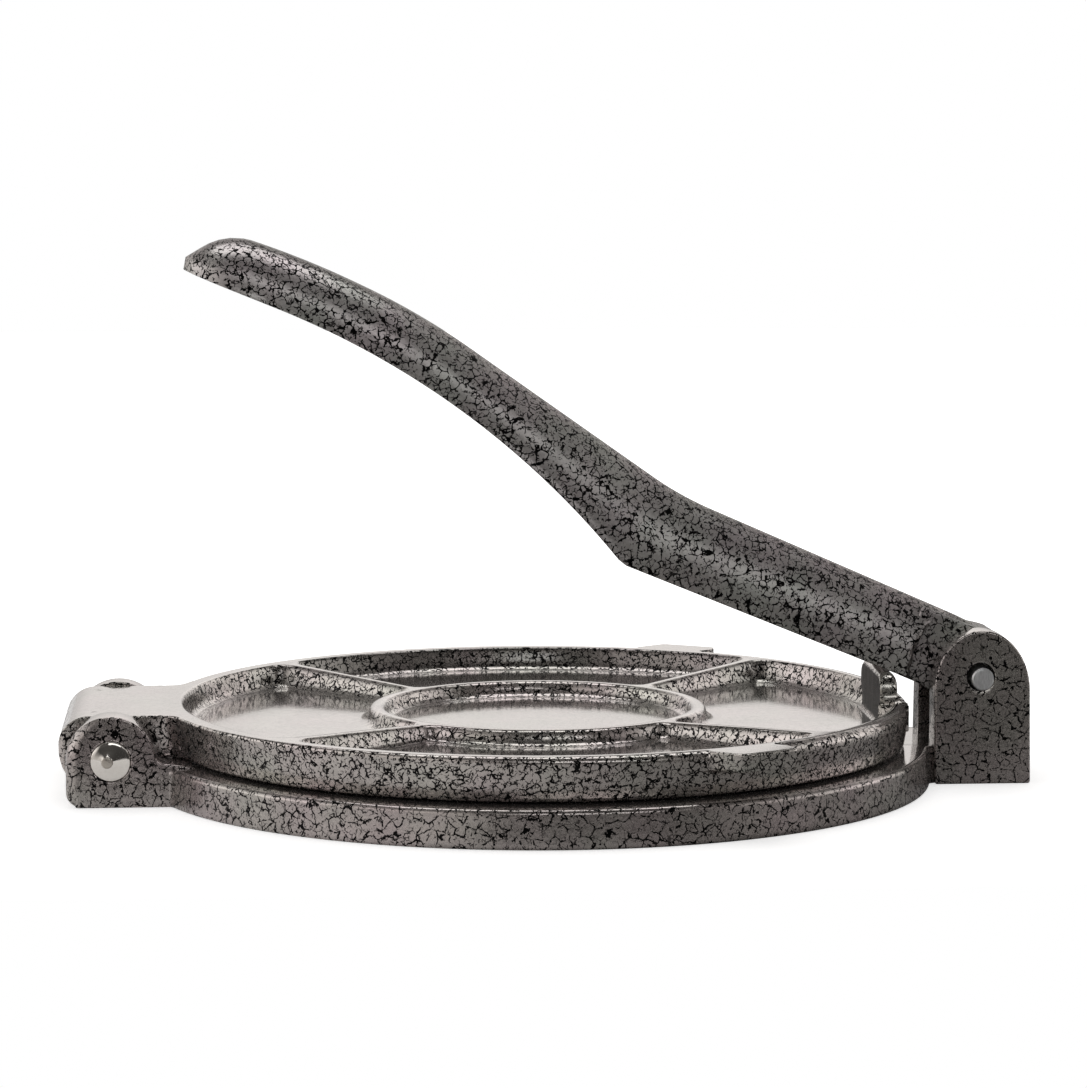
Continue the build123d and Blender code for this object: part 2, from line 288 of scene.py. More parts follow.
height = maths(veined, "ADD", height, maths(veined, "ADD", ripple, maths(veined, "MULTIPLY", mottle, 0.04)))
veined.links.new(height, made.inputs["Height"])


def coating(name, island_size, vein_width, fine_veins, island_colour, fade, gloss, edge, matt):
    """Glossy coated iron: the veins from the group, under a clear top layer. On level faces the
    coating ran out smoother, and where they are seen at a grazing angle, within fade, the veins are
    faded out of the colour, metal, coat and bump as a painted sheen of the gloss. Edge is how bright
    the outline of the piece shines, and matt is added to the roughness."""
    material = bpy.data.materials.new(name)
    material.use_nodes = True
    tree = material.node_tree
    where = tree.nodes.new("ShaderNodeTexCoord").outputs["Object"]
    facing = wire(tree, "LayerWeight", {"Blend": 0.5}).outputs["Facing"]
    normal = tree.nodes.new("ShaderNodeTexCoord").outputs["Normal"]
    upward = stretch(tree, wire(tree, "SeparateXYZ", {0: normal}).outputs["Z"], 0.5, 0.85)
    group = tree.nodes.new("ShaderNodeGroup")
    group.name, group.node_tree = "Group", veined
    tree.links.new(where, group.inputs["Vector"])
    # painted sheen: on level faces seen at a grazing angle, the veins are faded out
    tree.links.new(maths(tree, "MULTIPLY", stretch(tree, facing, *fade), upward), group.inputs["Painted Sheen"])
    for key, value in (("Island Size", island_size), ("Vein Width", vein_width), ("Fine Veins", fine_veins),
                       ("Island Colour", island_colour), ("Vein Colour", (0.002, 0.002, 0.002, 1))):
        group.inputs[key].default_value = value
    shader = tree.nodes["Principled BSDF"]
    tree.links.new(group.outputs["Colour"], shader.inputs["Base Color"])
    rough = maths(tree, "ADD", group.outputs["Roughness"], matt)
    rough = maths(tree, "ADD", rough, maths(tree, "MULTIPLY", upward, -0.16))
    tree.links.new(rough, shader.inputs["Roughness"])
    tree.links.new(group.outputs["Metallic"], shader.inputs["Metallic"])
    tree.links.new(maths(tree, "MULTIPLY", group.outputs["Coat"], gloss), shader.inputs["Coat Weight"])
    bump = wire(tree, "Bump", {"Height": group.outputs["Height"], "Distance": 0.00016,
                               "Strength": stretch(tree, upward, 0.0, 1.0, 1.0, 0.27)})
    tree.links.new(bump.outputs["Normal"], shader.inputs["Normal"])
    shader.inputs["Specular IOR Level"].default_value = 0.08
    shader.inputs["Specular Tint"].default_value = (edge, edge, edge, 1)
    shader.inputs["Coat Roughness"].default_value = 0.09
    return material


base_coating = coating("base coating", 345.0, 0.056, 0.85, (0.44, 0.4, 0.39, 1), (0.55, 0.8), 0.7, 1.0, 0.0)

base_radius, base_high, shoulder, foot, rim_lean = 105.4, 10.0, 1.5, 0.8, 0.07
ear_face, ear_slot, slot_x = 38.0, 27.6, -98.6
fork_face, fork_slot, fork_left, fork_right = 17.0, 8.6, 105.1, 130.9
hollow, hollow_radius, stiff_ring, stiff_half, solid_from = 4.6, 99.4, 46.0, 2.25, 92.0


def base_edge(angle):
    """Plan outline of the plate at each angle: the circle, with a hollow fillet that runs out to the
    face of each hinge ear and of the clevis, and short tails that end inside them."""
    circle = np.stack([np.cos(angle), np.sin(angle)], 1) * base_radius
    side = np.sign(circle[:, 1]) + (circle[:, 1] == 0)
    edge = circle.copy()
    for face, radius, tail, where in ((ear_face - 0.04, 3.4, 106.5, circle[:, 0] < 0),
                                      (fork_face - 0.04, 3.0, 113.0, circle[:, 0] > 0)):
        high = face + radius
        out = np.sqrt((base_radius + radius) ** 2 - high**2)
        touch = np.arctan2(high, out)
        meet = np.arctan2(face, out)
        end = np.arctan2(face, tail)
        from_axis = np.arctan2(np.abs(circle[:, 1]), np.abs(circle[:, 0]))
        share = np.clip((touch - from_axis) / (touch - meet), 0, 1)
        turn = share * (pi / 2 - touch)
        arc_x = out - radius * np.cos(touch + turn)
        arc_y = high - radius * np.sin(touch + turn)
        run_x = out + (tail - out) * np.clip((meet - from_axis) / (meet - end), 0, 1)
        tail_y = np.tan(np.minimum(from_axis, end)) * tail
        x = np.where(from_axis > meet, arc_x, np.where(from_axis > end, run_x, tail))
        y = np.where(from_axis > meet, arc_y, np.where(from_axis > end, face, tail_y))
        near = where & (from_axis < touch)
        edge[near] = np.stack([x * np.sign(circle[:, 0]), y * side], 1)[near]
    slot = (circle[:, 0] < 0) & (np.abs(edge[:, 1]) < ear_slot + 1.6)
    edge[slot, 0] = slot_x
    return edge


# columns in degrees: close together where the fillets of the clevis and of the ears begin and end
at_clevis = (7.5, 8.0, 8.4, 8.7, 9.0, 9.25, 9.5, 9.8, 10.1, 10.4, 10.8)
at_ears = (15.2, 15.6, 16.1, 16.8, 17.6, 18.4, 19.2, 19.9, 20.5, 20.8, 21.1, 21.4, 21.8, 22.2, 22.6)
marks = np.arange(-44, 316, 1.6)
for middle, spread in ((0, at_clevis), (180, at_ears)):
    marks = marks[np.abs(marks - middle) > 0.3 + max(spread)]
    marks = np.concatenate([marks, middle + np.array(spread), middle - np.array(spread),
                            middle + np.arange(-6, 6.1, 2) * min(spread) / 6.5])
radii = np.array([8, 20, 32, 40, 60, 80, 94.0])
angle = spokes(radii, marks)
x, y = np.cos(angle) * radii[:, None], np.sin(angle) * radii[:, None]
top_rows = np.stack([x, y, np.full(x.shape, base_high)], 2)
rim_angle = spokes([95.0], marks)[0]
edge = base_edge(rim_angle)
out = outward(edge)
inner = np.stack([np.cos(rim_angle), np.sin(rim_angle)], 1) * 96.0

# the rim's side, from its round shoulder down to its round foot: how far out of the edge, and height
quarter = np.radians(np.linspace(0, 90, 9))
side = [(-0.5 - shoulder * (1 - sin(a)), base_high - shoulder * (1 - cos(a))) for a in quarter]
side += [(-rim_lean * z, z) for z in (7.0, 5.0, 3.0, 1.6)]
quarter = np.radians(np.linspace(90, 0, 7))
side += [(-0.06 - foot * (1 - sin(a)), foot * (1 - cos(a))) for a in quarter]
rim_rows = np.array([np.column_stack([edge + out * beyond, np.full(len(edge), z)]) for beyond, z in side])

# underneath: hollow inside the rim, but for the ring, the ribs and the blocks that carry the ears
radii = np.concatenate([[100.8, 100.1, 99.8, 99.5, 99.2, 98.8, 98.4, 98.0, 97.4, 96.6, 95.8, 94.8],
                        [93.6, 92.4], np.arange(90, 54, -4.5), np.arange(52.5, 39.5, -0.6),
                        [38.0, 34, 26, 16, 7]])
angle = spokes(radii, marks)
x, y = np.cos(angle) * radii[:, None], np.sin(angle) * radii[:, None]
r = np.hypot(x, y)
ring = np.abs(r - stiff_ring) - stiff_half
rib = np.where(r < stiff_ring, 99.0, np.minimum(np.abs(x + y), np.abs(x - y)) / 2**0.5 - stiff_half)
blocks = np.minimum(np.hypot(np.maximum(x + solid_from, 0), np.maximum(np.abs(y) - ear_face, 0)),
                    np.hypot(np.maximum(solid_from - x, 0), np.maximum(np.abs(y) - fork_face, 0)))
inside = corner(corner(hollow_radius - r, blocks, 5.0), corner(ring, rib, 2.5), 4.0)
under_rows = np.stack([x, y, hollow - wall(inside, hollow, 0.0, 0.7, 1.2)], 2)
inner = np.column_stack([inner, np.full(len(inner), base_high)])[None]
base_plate = np.concatenate([top_rows, inner, rim_rows, under_rows])

# hinge ears: the outer face is softly rounded, most of all at the left; the foot runs into the plate
hinge = np.array((-113.3, 12.0))
ears = []


def domed(outline, spring, stretch_by):
    """The part of an outline above the height spring, stretched upwards."""
    high = outline[:, 1] > spring
    outline[high, 1] = spring + (outline[high, 1] - spring) * stretch_by
    return outline


def draft(face, slot, grid, level):
    """Distance of an ear's points from the middle plane: its outer face leans in upwards by 0.07 for
    each millimetre, and stands at face on the given level."""
    share = (grid[:, :, 1] < 0.5 * (face - slot)) * 1.0
    return face - grid[:, :, 1] + share * 0.07 * (level - grid[:, :, 2])


for side, rise in ((-1, 11.5), (1, 11.2)):
    ear = rounded([(-125.0, 0.03), (-90.0, 0.03), (-90.0, 9.0), (-92.4, 10.5), (-101.44, 11.45),
                   (-103.52, 23.65), (-125.0, 23.65)], [3.6, 0.2, 0.2, 1.5, 3.3, 11.63, 11.63], 0.9)
    ear = domed(ear, 12.0, rise / 11.65)
    soft = np.clip((-115.0 - ear[:, 0]) / 9.0, 0, 1) if side < 0 else 1.0
    ear_round = np.where((ear[:, 1] < 0.2) | (ear[:, 0] > -99.0), 0.5, 0.5 + 2.6 * soft)
    grid = slab(ear, 0.0, ear_face - ear_slot, ear_round, 0.5, hinge, 5.22, 0.3)
    grid[:, :, 1] = side * draft(ear_face, ear_slot, grid, 12.0)
    ears.append((grid, True))

# clevis: two upright ears on a low block; the near ear was drilled a little high and wide
pivot = np.array((118.0, 28.0))
for side, hole, bore, rise in ((-1, (117.57, 28.62), 3.8, 16.0), (1, pivot, 3.5, 13.9)):
    fork = rounded([(fork_left, 0.03), (fork_right, 0.03), (fork_right, 37.8), (fork_left, 37.8)],
                   [0.7, 0.7, 12.89, 12.89], 0.9)
    fork = domed(fork, 24.9, rise / 12.9)
    fork_round = np.where(fork[:, 1] < 0.2, 0.3, 0.55)
    grid = slab(fork, 0.0, fork_face - fork_slot, fork_round, 0.5, np.array(hole), bore, 0.25)
    grid[:, :, 1] = side * draft(fork_face, fork_slot, grid, 28.0)
    ears.append((grid, True))
floor_edge = rounded([(106.0, 0.06), (130.3, 0.06), (130.3, 9.9), (106.0, 9.9)], [0.3] * 4, 3.0)
ears.append((np.array([np.column_stack([floor_edge[:, 0], np.full(len(floor_edge), v), floor_edge[:, 1]])
                       for v in (-9.0, -3.0, 3.0, 9.0)]), False))

base = casting("base_casting", [(base_plate, False)] + ears, base_coating)
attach(base, "base")
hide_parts("base")

# ---------------------------------------------------------------- hinge pin
# A turned steel pin pressed into both hinge ears. Its ends are shallow bright cones with a small
# nub near the middle, left by the lathe.
turned_steel = bpy.data.materials.new("turned steel")
turned_steel.use_nodes = True
tree = turned_steel.node_tree
where = tree.nodes.new("ShaderNodeTexCoord").outputs["Object"]
centred = vectors(tree, "SUBTRACT", where, (hinge[0] / 1000, 0, hinge[1] / 1000))
flat = vectors(tree, "MULTIPLY", centred, (1, 0, 1))
from_axis = wire(tree, "VectorMath", {0: flat}, operation="LENGTH").outputs["Value"]
grooves = maths(tree, "SINE", maths(tree, "MULTIPLY", from_axis, 22000.0))
uneven = wire(tree, "TexNoise", {"Vector": flat, "Scale": 900.0, "Detail": 3.0}).outputs["Fac"]
shader = tree.nodes["Principled BSDF"]
shader.inputs["Metallic"].default_value = 1.0
tint = mixed(tree, uneven, (0.7, 0.66, 0.61, 1), (0.84, 0.81, 0.77, 1))
to_nub = wire(tree, "VectorMath", {0: flat, 1: (-0.0009, 0, -0.0002)}, operation="DISTANCE").outputs["Value"]
nub = stretch(tree, to_nub, 0.00135, 0.00155, 1.0, 0.0)
sandy = wire(tree, "TexNoise", {"Vector": flat, "Scale": 2600.0, "Detail": 2.0}).outputs["Fac"]
tint = mixed(tree, maths(tree, "MULTIPLY", nub, 0.7), tint, (0.36, 0.32, 0.27, 1))
tree.links.new(tint, shader.inputs["Base Color"])
rough = maths(tree, "ADD", stretch(tree, uneven, 0.3, 0.7, 0.05, 0.09), maths(tree, "MULTIPLY", nub, 0.3))
tree.links.new(rough, shader.inputs["Roughness"])
sandy = maths(tree, "MULTIPLY", maths(tree, "MULTIPLY", nub, sandy), 4.0)
grain = maths(tree, "ADD", maths(tree, "MULTIPLY", grooves, 0.05), sandy)
bump = wire(tree, "Bump", {"Height": grain, "Strength": 0.5, "Distance": 0.00003})
tree.links.new(bump.outputs["Normal"], shader.inputs["Normal"])


def lathe(profile, shift, middle, columns):
    """Profile of (radius, y) pairs turned about the line along y through middle; shift moves each
    ring sideways in x."""
    turn = np.arange(columns) / columns * 2 * pi
    radius, y = np.array(profile, float).T
    x = middle[0] + radius[:, None] * np.cos(turn) + np.array(shift)[:, None]
    z = middle[1] + radius[:, None] * np.sin(turn)
    return np.stack([x, np.broadcast_to(y[:, None], x.shape), z], 2)


# one end and its mirror image; the nub stands a little to the left of the middle
half = [(0.25, 39.15), (1.2, 39.12), (1.42, 39.02), (1.5, 38.86), (2.2, 38.68), (3.2, 38.52), (4.2, 38.36),
        (4.9, 38.24), (5.1, 38.14), (5.2, 37.95), (5.2, 30.0), (5.2, 15.0)]
profile = [(r, -y) for r, y in half] + [(r, y) for r, y in half[::-1]]
shift = [-0.9, -0.9, -0.9, -0.85, -0.55, -0.3, -0.1] + [0.0] * 5
shift = np.array(shift + shift[::-1])
hinge_pin = casting("turned_pin", [(lathe(profile, shift, hinge, 96), False)], turned_steel)
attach(hinge_pin, "base")
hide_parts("hinge_pin")

# ---------------------------------------------------------------- top plate
# The upper half: a round iron plate with a raised rim, a ring and four ribs on its back, a tongue
# at the left that rolls round the hinge pin, two lugs on the rim, and a saddle at the right that the
# handle bears on. Cast in one and coated like the base.
plate_grey = (0.52, 0.485, 0.465, 1)
plate_coating = coating("top plate coating", 500.0, 0.08, 0.95, plate_grey, (0.55, 0.8), 0.8, 1.0, 0.0)

# the face of the saddle towards the pocket was filed by hand: dull, with upright scratches
tree = plate_coating.node_tree
shader, group = tree.nodes["Principled BSDF"], tree.nodes["Group"]
coordinates = tree.nodes.new("ShaderNodeTexCoord")
split = wire(tree, "SeparateXYZ", {0: coordinates.outputs["Object"]})
faces_left = wire(tree, "SeparateXYZ", {0: coordinates.outputs["Normal"]}).outputs["X"]
faces_left = stretch(tree, faces_left, -0.85, -0.95)
half_across = maths(tree, "ABSOLUTE", split.outputs["Y"])
filed = maths(tree, "MULTIPLY", faces_left, stretch(tree, split.outputs["X"], 0.0906, 0.0908, 1.0, 0.0))
filed = maths(tree, "MULTIPLY", filed, stretch(tree, split.outputs["X"], 0.0884, 0.0886))
filed = maths(tree, "MULTIPLY", filed, stretch(tree, half_across, 0.0176, 0.0178, 1.0, 0.0))
upright = vectors(tree, "MULTIPLY", coordinates.outputs["Object"], (1.0, 1.0, 0.06))
scratched = wire(tree, "TexNoise", {"Vector": upright, "Scale": 1500.0, "Detail": 3.0}).outputs["Fac"]
dull = mixed(tree, scratched, (0.02, 0.02, 0.02, 1), (0.2, 0.195, 0.19, 1))
# painted shade: the far wall of the rim, in the pockets, is darkened towards black in the colour
from_middle = wire(tree, "VectorMath", {0: coordinates.outputs["Object"]}, operation="LENGTH")
painted_shade_far_wall = stretch(tree, from_middle.outputs["Value"], 0.0985, 0.0975, 0.0, 1.0)
painted_shade_far_wall = maths(tree, "MULTIPLY", painted_shade_far_wall, stretch(tree, split.outputs["Z"], 0.0165, 0.0175))
painted_shade_far_wall = maths(tree, "MULTIPLY", painted_shade_far_wall, stretch(tree, split.outputs["Y"], 0.05, 0.075))
colour_with_painted_shade = mixed(tree, maths(tree, "MULTIPLY", painted_shade_far_wall, 0.45), group.outputs["Colour"], (0.0, 0.0, 0.0, 1))
tree.links.new(mixed(tree, filed, colour_with_painted_shade, dull), shader.inputs["Base Color"])
whole = stretch(tree, filed, 0.0, 1.0, 1.0, 0.0)
tree.links.new(maths(tree, "MULTIPLY", group.outputs["Metallic"], whole), shader.inputs["Metallic"])
tree.links.new(maths(tree, "MULTIPLY", group.outputs["Coat"], whole), shader.inputs["Coat Weight"])
rough = shader.inputs["Roughness"].links[0].from_socket
tree.links.new(maths(tree, "ADD", rough, maths(tree, "MULTIPLY", filed, 0.35)), shader.inputs["Roughness"])

plate_low, plate_high, high_radius, low_radius = 10.65, 22.2, 100.6, 98.0
pocket_radius, pocket_shift, pocket_floor = 95.4, 0.8, 16.0
ring_radius, ring_high, ridge_half = 43.2, 20.0, 2.0
tongue_half, tongue_end, neck_radius = 27.0, -127.25, 4.5

# where the neck leaves the rim, and which columns (degrees either side of the tongue) meet what
neck_y = tongue_half + neck_radius
neck_x = -((high_radius + neck_radius) ** 2 - neck_y**2) ** 0.5
neck_psi, side_psi, end_psi, flat_psi = np.degrees(np.arctan2(neck_y, -neck_x)), 15.1, 11.0, 9.8


def from_tongue(angle):
    return np.degrees(np.abs(np.angle(np.exp(1j * (angle - pi)))))


def plate_edge(angle):
    """Plan outline at the height of the rim's top for each angle: circle, hollow neck arc, straight
    side of the tongue, round corner, straight end."""
    psi = from_tongue(angle)
    edge = np.stack([np.cos(angle), np.sin(angle)], 1) * high_radius
    share = np.clip((neck_psi - psi) / (neck_psi - side_psi), 0, 1)
    turn = np.radians(neck_psi) + (pi / 2 - np.radians(neck_psi)) * share
    neck = np.stack([neck_x + neck_radius * np.cos(turn), neck_y - neck_radius * np.sin(turn)], 1)
    bend_round = 1.6
    along = np.sin(np.clip((side_psi - psi) / (side_psi - end_psi), 0, 1) * pi / 2)
    straight = neck_x + (tongue_end + bend_round - neck_x) * along
    straight = np.stack([straight, np.full(len(psi), tongue_half)], 1)
    bend = np.clip((end_psi - psi) / (end_psi - flat_psi), 0, 1) * pi / 2
    bent = np.stack([tongue_end + bend_round * (1 - np.sin(bend)),
                     tongue_half - bend_round * (1 - np.cos(bend))], 1)
    end = np.stack([np.full(len(psi), tongue_end), (tongue_half - bend_round) * psi / flat_psi], 1)
    for limit, points in ((neck_psi, neck), (side_psi, straight), (end_psi, bent), (flat_psi, end)):
        edge[psi < limit] = points[psi < limit]
    edge[:, 1] = np.abs(edge[:, 1]) * np.where(np.sin(angle) < 0, -1, 1)
    return edge


def lug_reach(angle):
    """Radius that a lug reaches at each angle: a ramp out, a flat face square to 60 degrees, and a
    short way back, with rounded corners; blended softly into the rim."""
    lug = rounded([(30.0, 84.0), (33.2, 91.4), (44.2, 99.6), (58.7, 91.2), (55.0, 80.5)],
                  [1.0, 1.0, 2.2, 1.6, 1.0], 0.6)
    lug = lug[np.hypot(*lug.T) > 97.0]
    lug = lug[np.argsort(np.arctan2(lug[:, 1], lug[:, 0]))]
    reach = np.interp(angle, np.arctan2(lug[:, 1], lug[:, 0]), np.hypot(*lug.T), left=90.0, right=90.0)
    return (reach + high_radius + np.sqrt((reach - high_radius) ** 2 + 1.0)) / 2 - high_radius


# columns: close together at the lugs, the neck and the tongue's corners
at_lug = np.concatenate([np.arange(-5.2, -1.4, 0.32), np.arange(-1.2, 4.9, 1.2), np.arange(5.0, 10.0, 0.42)])
at_tongue = np.concatenate([np.arange(0, flat_psi, 0.9), np.arange(flat_psi, end_psi, 0.2),
                            np.arange(end_psi, side_psi, 0.2), np.arange(side_psi, neck_psi + 0.5, 0.22),
                            [18.2, 19.0, 20.0]])
marks = np.arange(-44, 316, 1.4)
for middle, near_it in ((60, at_lug), (300, -at_lug), (180, np.concatenate([-at_tongue[1:], at_tongue]))):
    marks = marks[(marks < middle + near_it.min() - 0.4) | (marks > middle + near_it.max() + 0.4)]
    marks = np.concatenate([marks, middle + near_it])
rim_angle = spokes([95.0], np.sort(marks))[0]
ray = np.stack([np.cos(rim_angle), np.sin(rim_angle)], 1)
psi = from_tongue(rim_angle)
upper = np.abs(np.angle(np.exp(1j * rim_angle)))
lug = np.where(np.abs(np.degrees(upper) - 62) < 12, lug_reach(upper), 0.0)
edge = plate_edge(rim_angle) + ray * lug[:, None]
out = outward(edge)
in_tongue, at_end = psi < side_psi, psi < end_psi

# the rim leans out upwards, a little less at the right; its top edge was ground crisp at the left
# and is well rounded at the right
degrees = np.degrees(rim_angle) % 360
right = np.clip(1 - np.abs(np.angle(np.exp(1j * rim_angle))) / radians(45), 0, 1)
edge = edge - ray * (0.4 * right)[:, None]
slope = (high_radius - low_radius - right) / (plate_high - plate_low) * np.clip((psi - side_psi) / 2.5, 0, 1)
edge_round = np.interp(degrees, [0, 45, 90, 135, 160, 180, 205, 225, 250, 270, 300, 330, 360],
                       [3.5, 2.6, 2.0, 1.6, 1.4, 0.7, 0.7, 0.9, 1.3, 1.6, 2.2, 3.0, 3.5])
edge_round = 0.45 + (edge_round - 0.45) * np.clip((psi - side_psi) / 5.0, 0, 1)
smooth = np.ones(5) / 5
edge_round = np.convolve(np.concatenate([edge_round[-2:], edge_round, edge_round[:2]]), smooth, "valid")
edge_round = np.where(lug > 0.3, 0.5, edge_round)


def tongue_top(x):
    """Back of the tongue: level, then a quarter circle of radius 7.9 down to its end."""
    return np.where(x < -119.4, 14.3 + np.sqrt(np.maximum(7.9**2 - (x + 119.4) ** 2, 0)), plate_high)


def tongue_under(x, y):
    """Underside: level under the plate; under the tongue a barrel that bulges down round the pin."""
    t = np.clip(np.abs((x + 113.5) / 13.8), 0, 1)
    barrel = 13.6 - 11.8 * np.sqrt(1 - t**2.4)
    joined = np.interp(x, [-103.0, -102.0, -101.0, -99.6], [5.6, 7.6, 9.7, plate_low])
    deep = np.where(x < -103.0, barrel, joined)
    neck_low = np.where(np.hypot(x, y) > 98.8, plate_low + 0.9, plate_low)
    return np.where(np.abs(y) < tongue_half + 0.05, np.where(x < -99.6, deep, plate_low), neck_low)


def pocket(x, y):
    """Back of the plate: rim, ring and ribs at the distance inside the nearest of their walls. The
    ring and ribs stand steeper than the rim's wall."""
    r = np.hypot(x, y)
    rib = np.where(r < ring_radius, 99.0, np.minimum(np.abs(x + y), np.abs(x - y)) / 2**0.5 - ridge_half)
    ridges = corner(np.abs(r - ring_radius) - ridge_half, rib, 3.0)
    inside = corner(pocket_radius - np.hypot(x, y + pocket_shift), ridges, 5.0)
    top = ring_high + (plate_high - ring_high) * np.clip((r - 46.0) / 47.0, 0, 1)
    near_rim = np.clip((r - 84.0) / 10.0, 0, 1)
    steep = np.clip((r - 78.0) / 14.0, 0, 1)
    return (wall(inside, top, pocket_floor, 1.7 - 0.8 * near_rim, 2.6, 0.16) * (1 - steep)
            + wall(inside, top, pocket_floor, 1.7 - 0.8 * near_rim, 2.6, 0.31) * steep)


radii = np.concatenate([[7, 15, 23, 30, 34.5, 36.8], np.arange(37.6, 41.9, 0.3), np.arange(42.2, 44.4, 0.5),
                        np.arange(44.6, 49.2, 0.3), [50.2, 51.4, 53, 55, 58], np.arange(62, 86, 4.0),
                        [87.5, 88.7, 89.6, 90.2], np.arange(90.6, 96.6, 0.28)])
angle = spokes(radii, np.sort(marks))
x, y = np.cos(angle) * radii[:, None], np.sin(angle) * radii[:, None]
rows = [np.stack([x, y, pocket(x, y)], 2)]


def level(plan, height):
    rows.append(np.column_stack([plan, np.broadcast_to(height, len(plan))])[None])


# back of the tongue and flat of the rim, from the ring of columns out to where the edges begin
reach = edge_round / np.tan((pi / 2 - np.arctan(slope)) / 2)
s = np.clip((side_psi - psi) / (side_psi - end_psi), 0, 1)
sign = np.where(edge[:, 1] < 0, -1.0, 1.0)
along_tongue = np.stack([edge[:, 0] + 8.5 * s**2, edge[:, 1] - sign * (2.6 + 5.9 * s)], 1)
across_end = np.stack([np.full(len(psi), -118.7), edge[:, 1] * 16.9 / 25.4], 1)
to_end = np.clip((end_psi - psi) / (end_psi - flat_psi), 0, 1)[:, None]
tongue_flat = along_tongue * (1 - to_end) + across_end * to_end
flat_end = np.where(in_tongue[:, None], tongue_flat, edge - out * reach[:, None])
ring_end = ray * 96.9
for share in (0.02, 0.3, 0.6, 0.9):
    level(ring_end * (1 - share) + flat_end * share, plate_high)

# round of the top edge: along the rim an arc of its own radius, on the tongue the shape of its back
high_end = np.zeros(len(psi))
for u in (1, 0.86, 0.72, 0.58, 0.46, 0.36, 0.27, 0.19, 0.125, 0.07, 0.03, 0.008, 0):
    turn = (1 - u) * (pi / 2 + np.arctan(slope))
    on_rim = edge - out * (reach - edge_round * np.sin(turn))[:, None]
    on_tongue = edge + (flat_end - edge) * u
    within = np.where(at_end, 9.0, np.clip(tongue_half - np.abs(on_tongue[:, 1]), 0, edge_round))
    within = np.minimum(within, edge_round)
    drop = edge_round - np.sqrt(np.maximum(edge_round**2 - (edge_round - within) ** 2, 0))
    rim_high = plate_high - edge_round * (1 - np.cos(turn))
    high_end = np.where(in_tongue, tongue_top(on_tongue[:, 0]) - drop, rim_high)
    level(np.where(in_tongue[:, None], on_tongue, on_rim), high_end)

# side of the rim and tongue, down to the round of the lower edge
low_out = np.where(lug[:, None] > 0.02, ray, out)
low_round = np.where(in_tongue, 0.5, 1.0)
low_edge = np.where(in_tongue, tongue_under(edge[:, 0], edge[:, 1]), plate_low) + low_round
low_edge = np.minimum(low_edge, high_end - 0.25)
# (height of a row on the lugs, share of the lug that still stands out there)
lug_rows = ((20.8, 1), (20.0, 1), (19.2, 1), (18.4, 1), (17.8, 1), (17.5, 0.985), (17.35, 0.93),
            (17.25, 0.82), (17.18, 0.65), (17.12, 0.42), (17.05, 0.22), (16.92, 0.09), (16.7, 0.02),
            (16.2, 0), (15.2, 0), (14.0, 0), (12.9, 0), (12.2, 0), (11.65, 0))
for lug_level, standing in lug_rows:
    share = (21.2 - lug_level) / (21.2 - 11.65)
    height = np.where(lug > 0.02, np.minimum(lug_level, high_end), high_end + (low_edge - high_end) * share)
    side = edge - low_out * (slope * (plate_high - height))[:, None] - ray * (lug * (1 - standing))[:, None]
    level(side, height)
low_side = rows[-1][0][:, :2]
for a in np.radians([65, 40, 20, 0]):
    level(low_side - low_out * (low_round * (1 - sin(a)))[:, None], low_edge - low_round * cos(a))

# underside, from the round inwards
last = rows[-1][0][:, :2]
low_flat = np.where(in_tongue[:, None], flat_end, last - low_out * 2.0)
for share in (0.02, 0.06, 0.12, 0.2, 0.3, 0.42, 0.56, 0.7, 0.85, 1.0):
    plan = last * (1 - share) + low_flat * share
    under = tongue_under(plan[:, 0], plan[:, 1])
    level(plan, np.where(in_tongue & (share < 0.1), np.minimum(under, low_edge - 0.5), under))
for share in np.arange(0.1, 1.01, 0.1):
    plan = low_flat * (1 - share) + ray * 94.0 * share
    level(plan, tongue_under(plan[:, 0], plan[:, 1]))
radii = np.array([80.0, 60, 44, 30, 15])
angle = spokes(radii, np.sort(marks))
x, y = np.cos(angle) * radii[:, None], np.sin(angle) * radii[:, None]
rows.append(np.stack([x, y, np.full(x.shape, plate_low)], 2))
plate_skin = np.concatenate(rows)

# saddle: an upright wall across the rim with a round crest and round top corners; its ends run out
# along the rim in a hollow curve, and its feet flare into the rim and the floor of the pocket
saddle = rounded([(-20.6, 14.6), (20.6, 14.6), (20.6, 21.7), (17.0, 21.9), (17.0, 29.7), (-17.0, 29.7),
                  (-17.0, 21.9), (-20.6, 21.7)], [0.4, 0.4, 0.3, 2.6, 4.6, 4.6, 2.6, 0.3], 0.55)
crest = 0.5 + 1.8 * np.clip(outward(saddle)[:, 1], 0, 1) ** 2 * (saddle[:, 1] > 24.0)
saddle_skin = slab(saddle, 0.0, 4.7, crest, crest, np.array((0.0, 19.0)), 0.0, 0.5)
across, sy, sz = saddle_skin[..., 1], saddle_skin[..., 0], saddle_skin[..., 2]
foot_in = 1.6 - np.sqrt(np.maximum(1.6**2 - np.clip(1.6 - (sz - pocket_floor), 0, 1.6) ** 2, 0))
foot_out = 2.6 - np.sqrt(np.maximum(2.6**2 - np.clip(2.6 - (sz - 21.9), 0, 2.6) ** 2, 0))
sx = 90.4 + across - np.where(across < 2.35, foot_in, 0) + np.where(across > 2.35, foot_out, 0)
rim_there = np.sqrt(pocket_radius**2 - (np.abs(sy) + pocket_shift) ** 2) + 0.9
tuck = np.clip((np.abs(sy) - 16.9) / 1.2, 0, 1)
sx = sx + tuck * np.maximum(rim_there - sx, 0)
saddle_skin = np.stack([sx, sy, sz], 2)

top_plate = casting("plate_casting", [(plate_skin, False), (saddle_skin, False)], plate_coating)
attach(top_plate, "top_plate")
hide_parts("top_plate")

